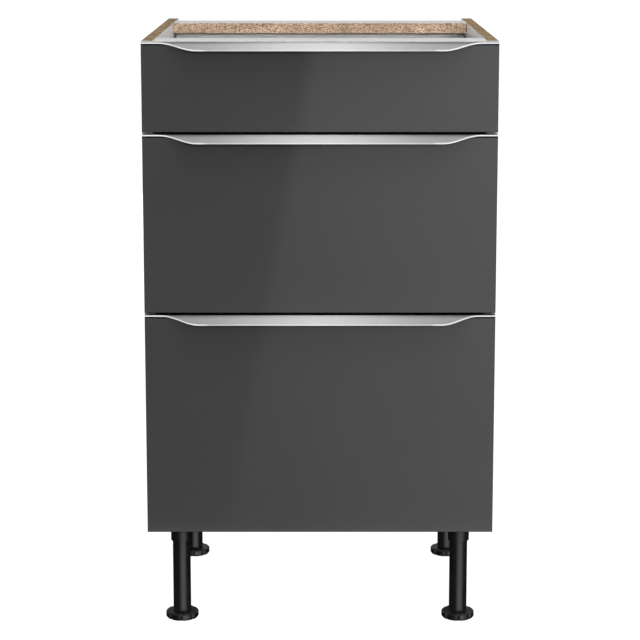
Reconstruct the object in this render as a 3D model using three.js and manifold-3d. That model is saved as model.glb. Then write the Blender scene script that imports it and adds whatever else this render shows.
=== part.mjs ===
// Kitchen base cabinet with three drawers, on four height-adjustable legs.
//
// Millimetres, +Z up. X runs across the cabinet, the drawer fronts face -Y, and the origin
// lies on the floor below the middle of the overall box (handle lips included).
//
// Every piece of the real cabinet is one named mesh: six carcass boards, three drawers with
// steel sides, the two-stage runners that carry them, and the legs.

import * as THREE from 'three';
import { mergeVertices } from 'three/addons/utils/BufferGeometryUtils.js';
import Module from 'manifold-3d';

const wasm = await Module();
wasm.setup();

// ---------------------------------------------------------------------------
// Driving dimensions
// ---------------------------------------------------------------------------

// General fits
const SEAT_GAP = 0.3; // between two pieces that rest on or against each other
const SLIDE_GAP = 0.5; // between two pieces that slide on each other

// Carcass
const CABINET_WIDTH = 500;
const CARCASS_DEPTH = 564;
const CARCASS_HEIGHT = 704;
const LEG_HEIGHT = 144;
const BOARD = 16;
const RAIL_WIDTH = 64;
const BACK_THICKNESS = 3;
const BACK_GROOVE_DEPTH = 8;
const SERVICE_VOID = 67; // pipe space behind the back panel

// Drawer fronts
const FRONT_THICKNESS = 18;
const FRONT_TO_CARCASS = 2;
const FRONT_REVEAL = 1.5; // each side, between front edge and cabinet side
const FRONT_EDGE_RADIUS = 1.5;
const ROW_GAP = 3;
const UPPER_ROW_HEIGHT = 125.5;
const MIDDLE_ROW_HEIGHT = 253.5;

// Handle strips
const HANDLE_SHEET = 2.4;
const LIP_REACH = 20;
const LIP_DROP = 12; // from the strip's top to the lip's lower edge
const LIP_FLUSH_END = 24; // length at each end where the strip is flush with the front
const LIP_CURVE_LENGTH = 54; // length of each S-curve, from flush to full reach
const TONGUE_THICKNESS = 2;
const TONGUE_DEPTH = 10;

// Runners, seen along the drawer's travel
const RUNNER_LIFT = 19; // from the row's lower edge to the runner's underside
const RUNNER_SHEET = 1.5;
const RUNNER_FRONT_SETBACK = 2;
const RAIL_FLANGE_HEIGHT = 38;
const RAIL_LIP_HEIGHT = 6;
const RAIL_LIP_CLEARANCE = 1.5;
const SLIDE_HEIGHT = 10;
const SLIDE_FRONT_SETBACK = 14;
const SLIDE_REAR_SETBACK = 16;

// Drawer boxes
const DRAWER_REAR_CLEARANCE = 26; // from the drawer's rear end to the back panel
const SIDE_CLEARANCE = 10; // from cabinet side to steel drawer side
const SIDE_WIDTH = 16;
const SIDE_SHEET = 1.2;
const SIDE_FOOT_WIDTH = 12;
const SIDE_LEG_DEPTH = 6.5; // legs that straddle the runner's slide
const UPPER_SIDE_CLEARANCE = 10; // from the upper drawer's sides to the front rail
const DEEP_SIDE_HEIGHT = 84;
const GALLERY_RISE = 60; // from a deep drawer's side up to its rod
const ROD_DIAMETER = 10;
const BRACKET_SHEET = 1.5;
const BRACKET_DEPTH = 20;
const BRACKET_ABOVE_ROD = 8;

// Legs
const LEG_SIDE_INSET = 47; // from the cabinet's side to the leg's axis
const LEG_FRONT_INSET = 31; // from the carcass's front edge to the front leg's axis
const LEG_SPACING = 310;
const LEG_TUBE_DIAMETER = 26;
const LEG_TUBE_WALL = 2.5;
const SOCKET_PLATE_DIAMETER = 64;
const SOCKET_PLATE_THICKNESS = 4;
const SOCKET_COLLAR_WALL = 2.1;
const SOCKET_COLLAR_LENGTH = 22;
const SOCKET_SCREWS = 4;
const SOCKET_SCREW_HOLE = 4.5;
const FOOT_DIAMETER = 48;
const FOOT_THICKNESS = 10;
const FOOT_EDGE = 1.5;
const FOOT_NOTCHES = 12;
const FOOT_NOTCH_DEPTH = 0.8;
const STEM_LENGTH = 42;

// Smoothness of the round shapes
const ROUND_SEGMENTS = 32;
const ROD_SEGMENTS = 16;
const HOLE_SEGMENTS = 12;
const EDGE_SEGMENTS = 3;
const LIP_CURVE_STEPS = 16;
const FOOT_STEPS_PER_NOTCH = 5;

// Colours and finishes
const FINISH = {
  gloss: { color: 0x3c3c3d, roughness: 0.12, metalness: 0.0 },
  aluminium: { color: 0xc4c5c6, roughness: 0.3, metalness: 1.0 },
  whiteBoard: { color: 0xe9e8e4, roughness: 0.55, metalness: 0.0 },
  greySteel: { color: 0xa4a7aa, roughness: 0.45, metalness: 0.6 },
  zincSteel: { color: 0xb9bcc0, roughness: 0.35, metalness: 0.9 },
  blackPlastic: { color: 0x1b1b1c, roughness: 0.4, metalness: 0.0 },
};

// ---------------------------------------------------------------------------
// Places that several pieces share
// ---------------------------------------------------------------------------

const overallDepth = LIP_REACH + FRONT_THICKNESS + FRONT_TO_CARCASS + CARCASS_DEPTH;
const frontFaceY = LIP_REACH - overallDepth / 2;
const frontRearY = frontFaceY + FRONT_THICKNESS;
const carcassFrontY = frontRearY + FRONT_TO_CARCASS;
const carcassRearY = carcassFrontY + CARCASS_DEPTH;
const backFrontY = carcassRearY - SERVICE_VOID - BACK_THICKNESS;
const drawerRearY = backFrontY - DRAWER_REAR_CLEARANCE;

const carcassBottomZ = LEG_HEIGHT;
const carcassTopZ = LEG_HEIGHT + CARCASS_HEIGHT;

const innerHalfWidth = CABINET_WIDTH / 2 - BOARD;
const frontWidth = CABINET_WIDTH - 2 * FRONT_REVEAL;

// Heights in the runner, above its underside
const slideBottom = RUNNER_SHEET + SLIDE_GAP;
const slideTop = slideBottom + SLIDE_HEIGHT;
const sideBase = slideTop + SLIDE_GAP;
const boardBase = sideBase + SIDE_SHEET + SEAT_GAP;

// Distances inwards from the cabinet side's inner face
const sideOuter = SIDE_CLEARANCE;
const sideInner = SIDE_CLEARANCE + SIDE_WIDTH;
const boxHalfWidth = innerHalfWidth - sideInner - SEAT_GAP;

const middleRowTopZ = carcassTopZ - UPPER_ROW_HEIGHT - ROW_GAP;
const lowerRowTopZ = middleRowTopZ - MIDDLE_ROW_HEIGHT - ROW_GAP;
const upperRunnerZ = carcassTopZ - UPPER_ROW_HEIGHT + RUNNER_LIFT;
const upperSideHeight = carcassTopZ - BOARD - UPPER_SIDE_CLEARANCE - upperRunnerZ - sideBase;

const ROWS = [
  {
    name: 'upper',
    topZ: carcassTopZ,
    height: UPPER_ROW_HEIGHT,
    sideHeight: upperSideHeight,
    gallery: false,
  },
  {
    name: 'middle',
    topZ: middleRowTopZ,
    height: MIDDLE_ROW_HEIGHT,
    sideHeight: DEEP_SIDE_HEIGHT,
    gallery: true,
  },
  {
    name: 'lower',
    topZ: lowerRowTopZ,
    height: lowerRowTopZ - carcassBottomZ,
    sideHeight: DEEP_SIDE_HEIGHT,
    gallery: true,
  },
];

const SIDES = [
  { name: 'left', sign: -1 },
  { name: 'right', sign: 1 },
];

// ---------------------------------------------------------------------------
// Helpers
// ---------------------------------------------------------------------------

const cabinet = new THREE.Group();

function addPiece(name, geometry, finish) {
  const mesh = new THREE.Mesh(geometry, new THREE.MeshStandardMaterial(finish));
  mesh.name = name;
  cabinet.add(mesh);
  return mesh;
}

// A board or block between two corners.
function block(low, high) {
  const size = high.map((value, axis) => value - low[axis]);
  const middle = high.map((value, axis) => (value + low[axis]) / 2);
  return new THREE.BoxGeometry(...size).translate(...middle);
}

function outline(points) {
  return new THREE.Shape(points.map(([a, b]) => new THREE.Vector2(a, b)));
}

// A plan outline in (x, y), raised from lowZ to highZ.
function raise(shape, lowZ, highZ) {
  const solid = new THREE.ExtrudeGeometry(shape, { depth: highZ - lowZ, bevelEnabled: false });
  return solid.translate(0, 0, lowZ);
}

// A section in (y, z), drawn out along X about the cabinet's middle.
function drawAcross(shape, width) {
  const turn = new THREE.Matrix4().makeBasis(
    new THREE.Vector3(0, 1, 0),
    new THREE.Vector3(0, 0, 1),
    new THREE.Vector3(1, 0, 0),
  );
  const solid = new THREE.ExtrudeGeometry(shape, { depth: width, bevelEnabled: false });
  return solid.translate(0, 0, -width / 2).applyMatrix4(turn);
}

// A section in (x, z), drawn out from frontY back to rearY.
function drawBack(shape, frontY, rearY) {
  const solid = new THREE.ExtrudeGeometry(shape, { depth: rearY - frontY, bevelEnabled: false });
  return solid.rotateX(Math.PI / 2).translate(0, rearY, 0);
}

function toSolid(geometry) {
  const bare = geometry.clone();
  bare.deleteAttribute('normal');
  bare.deleteAttribute('uv');
  const closed = mergeVertices(bare);
  const vertProperties = new Float32Array(closed.attributes.position.array);
  const triVerts = new Uint32Array(closed.index.array);
  return new wasm.Manifold(new wasm.Mesh({ numProp: 3, vertProperties, triVerts }));
}

function fromSolid(solid) {
  const mesh = solid.getMesh();
  const corners = new THREE.BufferAttribute(new Float32Array(mesh.vertProperties), 3);
  const geometry = new THREE.BufferGeometry();
  geometry.setAttribute('position', corners);
  geometry.setIndex(new THREE.BufferAttribute(new Uint32Array(mesh.triVerts), 1));
  return geometry;
}

function overlapOf(first, second) {
  return fromSolid(toSolid(first).intersect(toSolid(second)));
}

// ---------------------------------------------------------------------------
// Carcass: two sides, bottom, two top rails and the back
// ---------------------------------------------------------------------------

for (const side of SIDES) {
  const outer = (side.sign * CABINET_WIDTH) / 2;
  const inner = side.sign * innerHalfWidth;
  const grooveFloor = side.sign * (innerHalfWidth + BACK_GROOVE_DEPTH);
  const grooveFrontY = backFrontY - SEAT_GAP;
  const grooveRearY = backFrontY + BACK_THICKNESS + SEAT_GAP;
  const plan = outline([
    [outer, carcassFrontY],
    [inner, carcassFrontY],
    [inner, grooveFrontY],
    [grooveFloor, grooveFrontY],
    [grooveFloor, grooveRearY],
    [inner, grooveRearY],
    [inner, carcassRearY],
    [outer, carcassRearY],
  ]);
  addPiece(`side_panel_${side.name}`, raise(plan, carcassBottomZ, carcassTopZ), FINISH.whiteBoard);
}

const boardHalfWidth = innerHalfWidth - SEAT_GAP;
const boardRearY = backFrontY - SEAT_GAP;

addPiece(
  'bottom_panel',
  block(
    [-boardHalfWidth, carcassFrontY, carcassBottomZ],
    [boardHalfWidth, boardRearY, carcassBottomZ + BOARD],
  ),
  FINISH.whiteBoard,
);

addPiece(
  'front_rail',
  block(
    [-boardHalfWidth, carcassFrontY, carcassTopZ - BOARD],
    [boardHalfWidth, carcassFrontY + RAIL_WIDTH, carcassTopZ],
  ),
  FINISH.whiteBoard,
);

addPiece(
  'rear_rail',
  block(
    [-boardHalfWidth, boardRearY - RAIL_WIDTH, carcassTopZ - BOARD],
    [boardHalfWidth, boardRearY, carcassTopZ],
  ),
  FINISH.whiteBoard,
);

const backHalfWidth = innerHalfWidth + BACK_GROOVE_DEPTH - SEAT_GAP;

addPiece(
  'back_panel',
  block(
    [-backHalfWidth, backFrontY, carcassBottomZ],
    [backHalfWidth, backFrontY + BACK_THICKNESS, carcassTopZ],
  ),
  FINISH.whiteBoard,
);

// ---------------------------------------------------------------------------
// Drawer front: an 18 mm board with eased front edges and a groove for the handle's tongue
// ---------------------------------------------------------------------------

const tongueY = frontFaceY + FRONT_THICKNESS / 2;

function frontPanel(row) {
  const topZ = row.topZ - HANDLE_SHEET - SEAT_GAP;
  const bottomZ = row.topZ - row.height;
  const radius = FRONT_EDGE_RADIUS;
  const grooveHalf = TONGUE_THICKNESS / 2 + SEAT_GAP;
  const grooveFloorZ = row.topZ - HANDLE_SHEET - TONGUE_DEPTH - SEAT_GAP;

  const section = new THREE.Shape();
  section.moveTo(frontRearY, bottomZ);
  section.lineTo(frontRearY, topZ);
  section.lineTo(tongueY + grooveHalf, topZ);
  section.lineTo(tongueY + grooveHalf, grooveFloorZ);
  section.lineTo(tongueY - grooveHalf, grooveFloorZ);
  section.lineTo(tongueY - grooveHalf, topZ);
  section.absarc(frontFaceY + radius, topZ - radius, radius, Math.PI / 2, Math.PI, false);
  section.absarc(frontFaceY + radius, bottomZ + radius, radius, Math.PI, 1.5 * Math.PI, false);

  const half = frontWidth / 2;
  const plan = new THREE.Shape();
  plan.moveTo(half, frontRearY);
  plan.lineTo(-half, frontRearY);
  plan.absarc(-half + radius, frontFaceY + radius, radius, Math.PI, 1.5 * Math.PI, false);
  plan.absarc(half - radius, frontFaceY + radius, radius, 1.5 * Math.PI, 2 * Math.PI, false);

  const across = outline(section.getPoints(EDGE_SEGMENTS).map((point) => point.toArray()));
  const around = outline(plan.getPoints(EDGE_SEGMENTS).map((point) => point.toArray()));
  return overlapOf(drawAcross(across, frontWidth), raise(around, bottomZ, topZ));
}

// ---------------------------------------------------------------------------
// Handle strip: a flat bed on the front's top edge, a tongue below it, and a lip that
// slants forwards and down. An S-curve at each end trims the lip back to the front's face.
// ---------------------------------------------------------------------------

function handleStrip(row) {
  const lipRise = LIP_DROP - HANDLE_SHEET;
  const lipFrontY = frontFaceY - LIP_REACH;
  const bedZ = row.topZ - HANDLE_SHEET;
  const tongueHalf = TONGUE_THICKNESS / 2;
  const section = outline([
    [frontRearY, bedZ],
    [frontRearY, row.topZ],
    [frontFaceY, row.topZ],
    [lipFrontY, row.topZ - lipRise],
    [lipFrontY, row.topZ - LIP_DROP],
    [frontFaceY, bedZ],
    [tongueY - tongueHalf, bedZ],
    [tongueY - tongueHalf, bedZ - TONGUE_DEPTH],
    [tongueY + tongueHalf, bedZ - TONGUE_DEPTH],
    [tongueY + tongueHalf, bedZ],
  ]);

  const half = frontWidth / 2;
  const leftCurve = [];
  for (let step = 0; step <= LIP_CURVE_STEPS; step += 1) {
    const share = step / LIP_CURVE_STEPS;
    const reach = (LIP_REACH * (1 - Math.cos(Math.PI * share))) / 2;
    leftCurve.push([-half + LIP_FLUSH_END + share * LIP_CURVE_LENGTH, frontFaceY - reach]);
  }
  const rightCurve = leftCurve.map(([x, y]) => [-x, y]).reverse();
  const plan = outline([
    [-half, frontRearY],
    [-half, frontFaceY],
    ...leftCurve,
    ...rightCurve,
    [half, frontFaceY],
    [half, frontRearY],
  ]);
  const lowestZ = Math.min(row.topZ - LIP_DROP, bedZ - TONGUE_DEPTH);
  return overlapOf(drawAcross(section, frontWidth), raise(plan, lowestZ, row.topZ));
}

// ---------------------------------------------------------------------------
// Runner: a rail on the cabinet side, and a slide between that rail and the drawer
// ---------------------------------------------------------------------------

// Turns distances from the cabinet side and heights above the runner into (x, z) points.
function placeSection(points, side, runnerZ) {
  return outline(
    points.map(([inwards, height]) => [side.sign * (innerHalfWidth - inwards), runnerZ + height]),
  );
}

const railRearY = drawerRearY;
const railFrontY = carcassFrontY + RUNNER_FRONT_SETBACK;
const railWidth = sideInner + RAIL_LIP_CLEARANCE + RUNNER_SHEET;

function runnerRail(side, runnerZ) {
  const section = [
    [SEAT_GAP, 0],
    [SEAT_GAP, RAIL_FLANGE_HEIGHT],
    [SEAT_GAP + RUNNER_SHEET, RAIL_FLANGE_HEIGHT],
    [SEAT_GAP + RUNNER_SHEET, RUNNER_SHEET],
    [railWidth - RUNNER_SHEET, RUNNER_SHEET],
    [railWidth - RUNNER_SHEET, RAIL_LIP_HEIGHT],
    [railWidth, RAIL_LIP_HEIGHT],
    [railWidth, 0],
  ];
  return drawBack(placeSection(section, side, runnerZ), railFrontY, railRearY);
}

function runnerSlide(side, runnerZ) {
  const outer = sideOuter + SIDE_SHEET + SLIDE_GAP;
  const inner = sideInner - SIDE_SHEET - SLIDE_GAP;
  const section = [
    [outer, slideBottom],
    [outer, slideTop],
    [inner, slideTop],
    [inner, slideBottom],
    [inner - RUNNER_SHEET, slideBottom],
    [inner - RUNNER_SHEET, slideTop - RUNNER_SHEET],
    [outer + RUNNER_SHEET, slideTop - RUNNER_SHEET],
    [outer + RUNNER_SHEET, slideBottom],
  ];
  const frontY = railFrontY + SLIDE_FRONT_SETBACK;
  return drawBack(placeSection(section, side, runnerZ), frontY, railRearY - SLIDE_REAR_SETBACK);
}

// ---------------------------------------------------------------------------
// Drawer box: hollow steel sides, chipboard bottom and back, rods on the deep drawers
// ---------------------------------------------------------------------------

const boxFrontY = frontRearY + SEAT_GAP;

// The hollow side stands on two legs that straddle the slide, and its foot carries the bottom.
function drawerSide(side, row, runnerZ) {
  const top = sideBase + row.sideHeight;
  const footTop = sideBase + SIDE_SHEET;
  const legEnd = sideBase - SIDE_LEG_DEPTH;
  const section = placeSection(
    [
      [sideOuter, legEnd],
      [sideOuter, top],
      [sideInner, top],
      [sideInner, footTop],
      [sideInner + SIDE_FOOT_WIDTH, footTop],
      [sideInner + SIDE_FOOT_WIDTH, sideBase],
      [sideInner, sideBase],
      [sideInner, legEnd],
      [sideInner - SIDE_SHEET, legEnd],
      [sideInner - SIDE_SHEET, sideBase],
      [sideOuter + SIDE_SHEET, sideBase],
      [sideOuter + SIDE_SHEET, legEnd],
    ],
    side,
    runnerZ,
  );
  const hollow = placeSection(
    [
      [sideOuter + SIDE_SHEET, footTop],
      [sideInner - SIDE_SHEET, footTop],
      [sideInner - SIDE_SHEET, top - SIDE_SHEET],
      [sideOuter + SIDE_SHEET, top - SIDE_SHEET],
    ],
    side,
    runnerZ,
  );
  const skin = toSolid(drawBack(section, boxFrontY, drawerRearY));
  const core = toSolid(drawBack(hollow, boxFrontY - SIDE_WIDTH, drawerRearY + SIDE_WIDTH));
  return fromSolid(skin.subtract(core));
}

const rodAxis = (sideOuter + sideInner) / 2;

function galleryRod(side, rodZ) {
  const frontY = boxFrontY;
  const rearY = drawerRearY - BRACKET_SHEET - SEAT_GAP;
  const radius = ROD_DIAMETER / 2;
  const rod = new THREE.CylinderGeometry(radius, radius, rearY - frontY, ROD_SEGMENTS);
  return rod.translate(side.sign * (innerHalfWidth - rodAxis), (frontY + rearY) / 2, rodZ);
}

// The bracket is an angle that stands on the side's rear end and takes the rod.
function rearBracket(side, lowZ, highZ) {
  const outer = side.sign * (innerHalfWidth - sideOuter);
  const inner = side.sign * (innerHalfWidth - sideInner);
  const outerInside = outer - side.sign * BRACKET_SHEET;
  const plan = outline([
    [outer, drawerRearY - BRACKET_DEPTH],
    [outerInside, drawerRearY - BRACKET_DEPTH],
    [outerInside, drawerRearY - BRACKET_SHEET],
    [inner, drawerRearY - BRACKET_SHEET],
    [inner, drawerRearY],
    [outer, drawerRearY],
  ]);
  return raise(plan, lowZ, highZ);
}

for (const row of ROWS) {
  const runnerZ = row.topZ - row.height + RUNNER_LIFT;
  const sideTopZ = runnerZ + sideBase + row.sideHeight;
  const rodZ = sideTopZ + GALLERY_RISE;
  const bracketTopZ = rodZ + BRACKET_ABOVE_ROD;
  const backTopZ = row.gallery ? bracketTopZ : sideTopZ;
  const bottomZ = runnerZ + boardBase;

  addPiece(`${row.name}_drawer_front`, frontPanel(row), FINISH.gloss);
  addPiece(`${row.name}_drawer_handle`, handleStrip(row), FINISH.aluminium);
  addPiece(
    `${row.name}_drawer_bottom`,
    block([-boxHalfWidth, boxFrontY, bottomZ], [boxHalfWidth, drawerRearY, bottomZ + BOARD]),
    FINISH.whiteBoard,
  );
  addPiece(
    `${row.name}_drawer_back`,
    block(
      [-boxHalfWidth, drawerRearY - BOARD, bottomZ + BOARD + SEAT_GAP],
      [boxHalfWidth, drawerRearY, backTopZ],
    ),
    FINISH.whiteBoard,
  );

  for (const side of SIDES) {
    addPiece(`${row.name}_runner_rail_${side.name}`, runnerRail(side, runnerZ), FINISH.zincSteel);
    addPiece(`${row.name}_runner_slide_${side.name}`, runnerSlide(side, runnerZ), FINISH.zincSteel);
    addPiece(`${row.name}_drawer_side_${side.name}`, drawerSide(side, row, runnerZ), FINISH.greySteel);
    if (row.gallery) {
      const bracket = rearBracket(side, sideTopZ + SEAT_GAP, bracketTopZ);
      addPiece(`${row.name}_drawer_rod_${side.name}`, galleryRod(side, rodZ), FINISH.greySteel);
      addPiece(`${row.name}_drawer_bracket_${side.name}`, bracket, FINISH.greySteel);
    }
  }
}

// ---------------------------------------------------------------------------
// Leg: a screwed-on socket, a tube pushed into it, and a foot that screws into the tube
// ---------------------------------------------------------------------------

const tubeRadius = LEG_TUBE_DIAMETER / 2;
const socketBore = tubeRadius + SEAT_GAP;
const collarRadius = socketBore + SOCKET_COLLAR_WALL;
const socketTopZ = carcassBottomZ - SEAT_GAP;
const plateBottomZ = socketTopZ - SOCKET_PLATE_THICKNESS;

function turned(points, segments) {
  const profile = points.map(([radius, height]) => new THREE.Vector2(radius, height));
  return new THREE.LatheGeometry(profile, segments).rotateX(Math.PI / 2);
}

function legSocket() {
  const plateRadius = SOCKET_PLATE_DIAMETER / 2;
  const collarEndZ = plateBottomZ - SOCKET_COLLAR_LENGTH;
  let socket = toSolid(
    turned(
      [
        [0, plateBottomZ],
        [socketBore, plateBottomZ],
        [socketBore, collarEndZ],
        [collarRadius, collarEndZ],
        [collarRadius, plateBottomZ],
        [plateRadius, plateBottomZ],
        [plateRadius, socketTopZ],
        [0, socketTopZ],
      ],
      ROUND_SEGMENTS,
    ),
  );
  const holeCircle = (collarRadius + plateRadius) / 2;
  for (let screw = 0; screw < SOCKET_SCREWS; screw += 1) {
    const angle = (2 * Math.PI * (screw + 0.5)) / SOCKET_SCREWS;
    const radius = SOCKET_SCREW_HOLE / 2;
    const hole = new THREE.CylinderGeometry(radius, radius, SOCKET_COLLAR_LENGTH, HOLE_SEGMENTS);
    hole.rotateX(Math.PI / 2);
    hole.translate(holeCircle * Math.cos(angle), holeCircle * Math.sin(angle), plateBottomZ);
    socket = socket.subtract(toSolid(hole));
  }
  return fromSolid(socket);
}

function legTube() {
  const inner = tubeRadius - LEG_TUBE_WALL;
  const lowZ = FOOT_THICKNESS + SEAT_GAP;
  const highZ = plateBottomZ - SEAT_GAP;
  return turned(
    [
      [inner, lowZ],
      [tubeRadius, lowZ],
      [tubeRadius, highZ],
      [inner, highZ],
      [inner, lowZ],
    ],
    ROUND_SEGMENTS,
  );
}

// The round foot has shallow grip notches in its rim, and a stem that stands in the tube.
function legFoot() {
  const steps = FOOT_NOTCHES * FOOT_STEPS_PER_NOTCH;
  const rim = [];
  for (let step = 0; step < steps; step += 1) {
    const angle = (2 * Math.PI * step) / steps;
    const inNotch = step % FOOT_STEPS_PER_NOTCH === 0;
    const radius = FOOT_DIAMETER / 2 - (inNotch ? FOOT_NOTCH_DEPTH : 0);
    rim.push([radius * Math.cos(angle), radius * Math.sin(angle)]);
  }
  const disc = new THREE.ExtrudeGeometry(outline(rim), {
    depth: FOOT_THICKNESS - 2 * FOOT_EDGE,
    bevelThickness: FOOT_EDGE,
    bevelSize: FOOT_EDGE,
    bevelOffset: -FOOT_EDGE,
    bevelSegments: 1,
  }).translate(0, 0, FOOT_EDGE);
  const stemRadius = tubeRadius - LEG_TUBE_WALL - SEAT_GAP;
  const stem = turned(
    [
      [0, FOOT_THICKNESS / 2],
      [stemRadius, FOOT_THICKNESS / 2],
      [stemRadius, FOOT_THICKNESS + STEM_LENGTH],
      [0, FOOT_THICKNESS + STEM_LENGTH],
    ],
    ROUND_SEGMENTS,
  );
  return fromSolid(toSolid(disc).add(toSolid(stem)));
}

const legX = CABINET_WIDTH / 2 - LEG_SIDE_INSET;
const frontLegY = carcassFrontY + LEG_FRONT_INSET;
const LEG_ROWS = [
  { name: 'front', y: frontLegY },
  { name: 'rear', y: frontLegY + LEG_SPACING },
];

for (const legRow of LEG_ROWS) {
  for (const side of SIDES) {
    const place = [side.sign * legX, legRow.y, 0];
    const corner = `${legRow.name}_${side.name}`;
    addPiece(`leg_socket_${corner}`, legSocket(), FINISH.blackPlastic).position.set(...place);
    addPiece(`leg_tube_${corner}`, legTube(), FINISH.blackPlastic).position.set(...place);
    addPiece(`leg_foot_${corner}`, legFoot(), FINISH.blackPlastic).position.set(...place);
  }
}

export default cabinet;
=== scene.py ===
# %% [markdown]
# # A kitchen base cabinet with three drawers
#
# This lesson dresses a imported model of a 500 mm wide base cabinet: gloss anthracite drawer
# fronts with metal grip strips, a carcass of white coated chipboard, steel drawer sides on
# runners, and four black adjustable legs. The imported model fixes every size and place, so
# each piece here starts from the box of the node that it stands for.

# %% Load the frame
import math

import bmesh
import bpy
from mathutils import Matrix, Vector


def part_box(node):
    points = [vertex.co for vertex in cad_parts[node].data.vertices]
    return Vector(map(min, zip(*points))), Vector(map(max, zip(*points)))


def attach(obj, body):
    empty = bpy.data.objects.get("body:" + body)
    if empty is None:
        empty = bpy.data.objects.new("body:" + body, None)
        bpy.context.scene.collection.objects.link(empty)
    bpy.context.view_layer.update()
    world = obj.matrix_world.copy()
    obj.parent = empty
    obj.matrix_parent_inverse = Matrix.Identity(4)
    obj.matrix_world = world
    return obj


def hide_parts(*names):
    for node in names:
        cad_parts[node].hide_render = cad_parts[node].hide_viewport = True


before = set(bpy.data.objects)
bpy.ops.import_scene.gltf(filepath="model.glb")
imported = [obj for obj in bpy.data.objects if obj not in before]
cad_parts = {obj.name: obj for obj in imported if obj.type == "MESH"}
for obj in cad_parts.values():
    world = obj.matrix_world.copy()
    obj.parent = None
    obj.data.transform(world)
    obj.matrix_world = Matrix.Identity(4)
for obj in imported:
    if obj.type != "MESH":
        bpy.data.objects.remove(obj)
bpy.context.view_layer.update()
MM = 0.001

# %% [markdown]
# ## The camera
#
# The photograph looks straight at the fronts from a little above. The camera's place was
# worked out from the cabinet's own edges: it stands almost three metres in front of the
# drawer fronts, a little higher than the worktop would be, and looks down by ten degrees.
# A camera can be aimed by a target object, but a plain rotation keeps it exact.

# %% Camera
IMAGE_SIZE = 640
FOCAL_PIXELS = 2123.4
AXIS_ROW = 275.9
CAMERA_DISTANCE = 2.9492
CAMERA_HEIGHT = 1.0438
CAMERA_PITCH = math.radians(10.086)
SENSOR_WIDTH = 36.0
FAR_CLIP = 50.0

face_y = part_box("upper_drawer_front")[0].y

camera_data = bpy.data.cameras.new("photo_camera")
camera_data.sensor_width = SENSOR_WIDTH
camera_data.lens = FOCAL_PIXELS * SENSOR_WIDTH / IMAGE_SIZE
camera_data.shift_y = (AXIS_ROW - IMAGE_SIZE / 2) / IMAGE_SIZE
camera_data.clip_end = FAR_CLIP
camera = bpy.data.objects.new("photo_camera", camera_data)
camera.location = (0.0, face_y - CAMERA_DISTANCE, CAMERA_HEIGHT)
camera.rotation_euler = (math.pi / 2 - CAMERA_PITCH, 0.0, 0.0)
bpy.context.scene.collection.objects.link(camera)
bpy.context.scene.camera = camera
print("camera: lens %.1f mm, %.2f m from the fronts" % (camera_data.lens, CAMERA_DISTANCE))

# %% [markdown]
# ## Small helpers for shader nodes
#
# A material is a small network. Writing out every node and link would bury the idea, so a
# few helpers keep the networks short: one adds a node and fills or connects its inputs,
# five more cover the commonest nodes, and the next cell's open a group or a material.

# %% Node helpers
def add_node(tree, kind, inputs=None, **settings):
    """Add a node, set its properties, then fill or connect the inputs."""
    node = tree.nodes.new(kind)
    for name, value in settings.items():
        setattr(node, name, value)
    for name, value in (inputs or {}).items():
        if isinstance(value, bpy.types.NodeSocket):
            tree.links.new(value, node.inputs[name])
        else:
            node.inputs[name].default_value = value
    return node


def slope(tree, value, start, end, low=0.0, high=1.0, kind="LINEAR"):
    """Carry a value from start..end over to low..high."""
    ends = {"Value": value, "From Min": start, "From Max": end, "To Min": low, "To Max": high}
    return add_node(tree, "ShaderNodeMapRange", ends, interpolation_type=kind).outputs["Result"]


def reckon(tree, operation, *values):
    """One sum; each value is a number or a socket."""
    return add_node(tree, "ShaderNodeMath", dict(enumerate(values)), operation=operation).outputs[0]


def blend(tree, factor, first, second, kind="MIX"):
    """Mix two colours, each a tone or a socket."""
    colours = {"Factor": factor, 6: first, 7: second}
    return add_node(tree, "ShaderNodeMix", colours, data_type="RGBA", blend_type=kind).outputs[2]


def split_axes(tree, vector):
    return add_node(tree, "ShaderNodeSeparateXYZ", {"Vector": vector}).outputs


def ramp(tree, factor, stops):
    """A colour ramp; stops are (position, (r, g, b))."""
    node = add_node(tree, "ShaderNodeValToRGB", {"Fac": factor})
    elements = node.color_ramp.elements
    while len(elements) < len(stops):
        elements.new(0.5)
    for element, (position, colour) in zip(elements, stops):
        element.position = position
        element.color = (*colour, 1.0)
    return node.outputs["Color"]


print("node helpers ready")

# %% [markdown]
# A node group holds an effect that several materials share. Its inputs and outputs have
# names and kinds, as a function's arguments have, and each material places the group with
# its own values.

# %% Group and material helpers
def open_group(name, inputs, outputs):
    """Make a node group; inputs are (name, kind, value) and outputs (name, kind)."""
    group = bpy.data.node_groups.new(name, "ShaderNodeTree")
    for label, kind, value in inputs:
        socket = group.interface.new_socket(label, in_out="INPUT", socket_type="NodeSocket" + kind)
        if value is not None:
            socket.default_value = value
    for label, kind in outputs:
        group.interface.new_socket(label, in_out="OUTPUT", socket_type="NodeSocket" + kind)
    entry = group.nodes.new("NodeGroupInput")
    leave = group.nodes.new("NodeGroupOutput")
    return group, entry.outputs, leave.inputs


def use_group(tree, group, **inputs):
    """Place a group in a material; chip_count fills the input Chip Count, and so on."""
    named = {name.replace("_", " ").title(): value for name, value in inputs.items()}
    return add_node(tree, "ShaderNodeGroup", named, node_tree=group).outputs


def open_material(name, **constants):
    """A material with one Principled shader; constants go straight on its sockets."""
    material = bpy.data.materials.new(name)
    material.use_nodes = True
    tree = material.node_tree
    shader = tree.nodes["Principled BSDF"]
    for label, value in constants.items():
        shader.inputs[label.replace("_", " ")].default_value = value
    place = tree.nodes.new("ShaderNodeTexCoord").outputs["Object"]
    return material, tree, shader, place


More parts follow.
